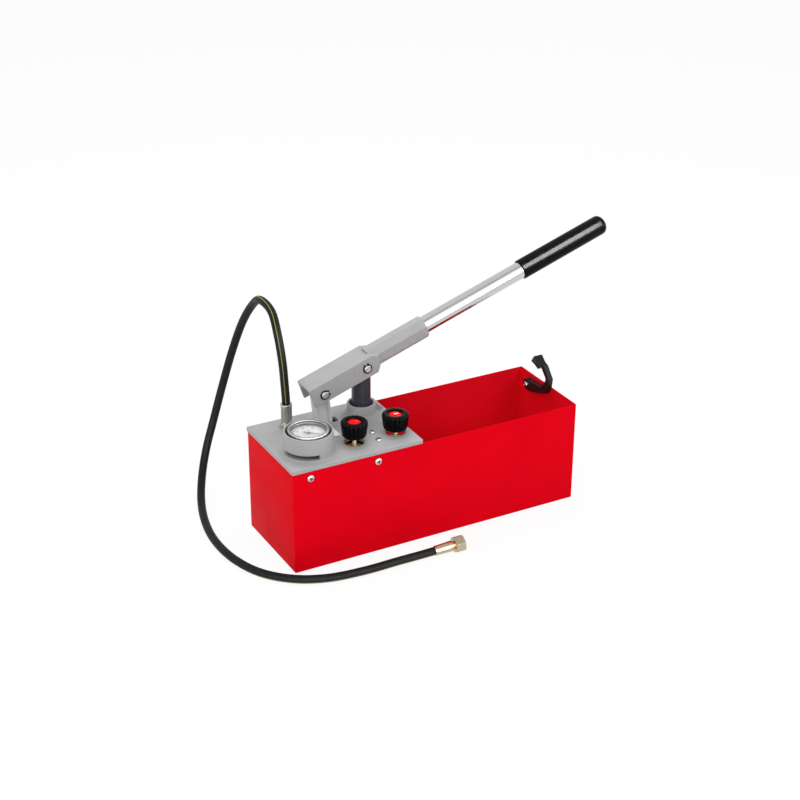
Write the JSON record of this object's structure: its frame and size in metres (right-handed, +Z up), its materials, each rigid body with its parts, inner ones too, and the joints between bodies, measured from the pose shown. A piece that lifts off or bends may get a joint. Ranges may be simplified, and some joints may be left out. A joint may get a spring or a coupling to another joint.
{
  "type": "hydrostatic test pump",
  "caption": "Hand-lever hydrostatic test pump on an open red water tank, with pressure gauge, two valve knobs and a pressure hose with union nut.",
  "frame": {"origin": "middle of the tank's underside", "axes": "+X along the tank towards the end with the lever hook, +Y from the front wall to the back wall, +Z up"},
  "size_m": [0.7277, 0.4129, 0.4437],
  "materials": {
    "red_paint": "semi-gloss red powder coat",
    "grey_casting": "as cast, satin grey coat",
    "dark_steel": "dark hardened and ground",
    "bright_steel": "nickel or zinc plated",
    "chrome": "polished",
    "brass": "machined",
    "black_steel": "blackened, satin",
    "black_plastic": "moulded, satin",
    "black_grip": "dipped vinyl, glossy",
    "red_plastic": "moulded, glossy",
    "blue_seal": "smooth polyurethane",
    "black_rubber": "smooth, satin",
    "white_dial": "flat white",
    "clear_glass": "clear, flat"
  },
  "bodies": {
    "pump_base": {"tank": "red_paint", "top_plate": "grey_casting", "plate_screw_front_1": "bright_steel", "plate_screw_front_2": "bright_steel", "plate_screw_back_1": "bright_steel", "plate_screw_back_2": "bright_steel", "block_screw_front": "bright_steel", "block_screw_back": "bright_steel", "pump_cylinder": "bright_steel", "gland_ring": "brass", "rod_wiper": "blue_seal", "suction_valve": "brass", "suction_strainer": "brass", "anchor_pin": "bright_steel", "valve_block": "brass", "left_valve_bonnet": "brass", "right_valve_bonnet": "brass", "gauge_case": "black_steel", "gauge_dial": "white_dial", "gauge_glass": "clear_glass", "gauge_bezel": "chrome", "gauge_tee": "brass", "gauge_pipe": "bright_steel", "hose_pipe": "bright_steel", "hose_connector": "brass", "feed_pipe": "bright_steel", "hose_ferrule_base": "bright_steel", "hose": "black_rubber", "hose_ferrule_end": "bright_steel", "hose_tail": "brass", "hook_bolt": "bright_steel", "hook_nut": "bright_steel"},
    "plunger": {"plunger": "dark_steel", "plunger_packing": "black_rubber"},
    "lever": {"lever_casting": "grey_casting", "lever_tube": "chrome", "lever_grip": "black_grip", "plunger_pin": "bright_steel", "plunger_pin_clip_front": "black_steel", "plunger_pin_clip_back": "black_steel", "fulcrum_pin": "bright_steel", "fulcrum_pin_clip_front": "black_steel", "fulcrum_pin_clip_back": "black_steel"},
    "link": {"link_arm": "grey_casting"},
    "left_valve": {"left_valve_cone": "bright_steel"},
    "left_knob": {"left_valve_spindle": "brass", "left_valve_knob": "black_plastic", "left_knob_cap": "red_plastic"},
    "right_valve": {"right_valve_cone": "bright_steel"},
    "right_knob": {"right_valve_spindle": "brass", "right_valve_knob": "black_plastic", "right_knob_cap": "red_plastic"},
    "needle": {"gauge_needle": "black_steel"},
    "hook": {"hook": "black_plastic"},
    "union_nut": {"union_nut": "brass"}
  },
  "joints": [
    {"name": "plunger_stroke", "type": "slide", "parent": "pump_base", "child": "plunger", "axis": [0, 0, 1], "range_m": [-0.0332, 0.035]},
    {"name": "lever_swing", "type": "hinge", "parent": "plunger", "child": "lever", "pos_m": [-0.074, 0.0455, 0.269], "axis": [0, -1, 0], "range_deg": [-25, 25]},
    {"name": "link_swing", "type": "hinge", "parent": "lever", "child": "link", "pos_m": [-0.15, 0.0455, 0.24], "axis": [0, -1, 0], "range_deg": [-36, 34.2]},
    {"name": "left_valve_rise", "type": "slide", "parent": "pump_base", "child": "left_valve", "axis": [0, 0, 1], "range_m": [-0.00377, 0]},
    {"name": "left_knob_turn", "type": "hinge", "parent": "left_valve", "child": "left_knob", "pos_m": [-0.1302, -0.0394, 0.19105], "axis": [0, 0, 1], "range_deg": [-900, 0]},
    {"name": "right_valve_rise", "type": "slide", "parent": "pump_base", "child": "right_valve", "axis": [0, 0, 1], "range_m": [0, 0.00377]},
    {"name": "right_knob_turn", "type": "hinge", "parent": "right_valve", "child": "right_knob", "pos_m": [-0.0571, -0.0394, 0.1873], "axis": [0, 0, 1], "range_deg": [0, 900]},
    {"name": "gauge_needle_turn", "type": "hinge", "parent": "pump_base", "child": "needle", "pos_m": [-0.206, -0.032, 0.211], "axis": [0, 0, -1], "range_deg": [0, 270]},
    {"name": "hook_swing", "type": "hinge", "parent": "pump_base", "child": "hook", "pos_m": [0.2521, 0.052, 0.157], "axis": [1, 0, 0], "range_deg": [-43, 89]},
    {"name": "union_nut_turn", "type": "hinge", "parent": "pump_base", "child": "union_nut", "pos_m": [0.0015, -0.1442, 0.0126], "axis": [0.9951, -0.0696, 0.0698], "continuous": true}
  ],
  "couplings": [
    {"joint": "plunger_stroke", "follows": "lever_swing", "m_per_rad": 0.0757},
    {"joint": "link_swing", "follows": "lever_swing", "ratio": -1.367},
    {"joint": "left_valve_rise", "follows": "left_knob_turn", "m_per_rad": 0.00023873},
    {"joint": "right_valve_rise", "follows": "right_knob_turn", "m_per_rad": 0.00023873}
  ]
}
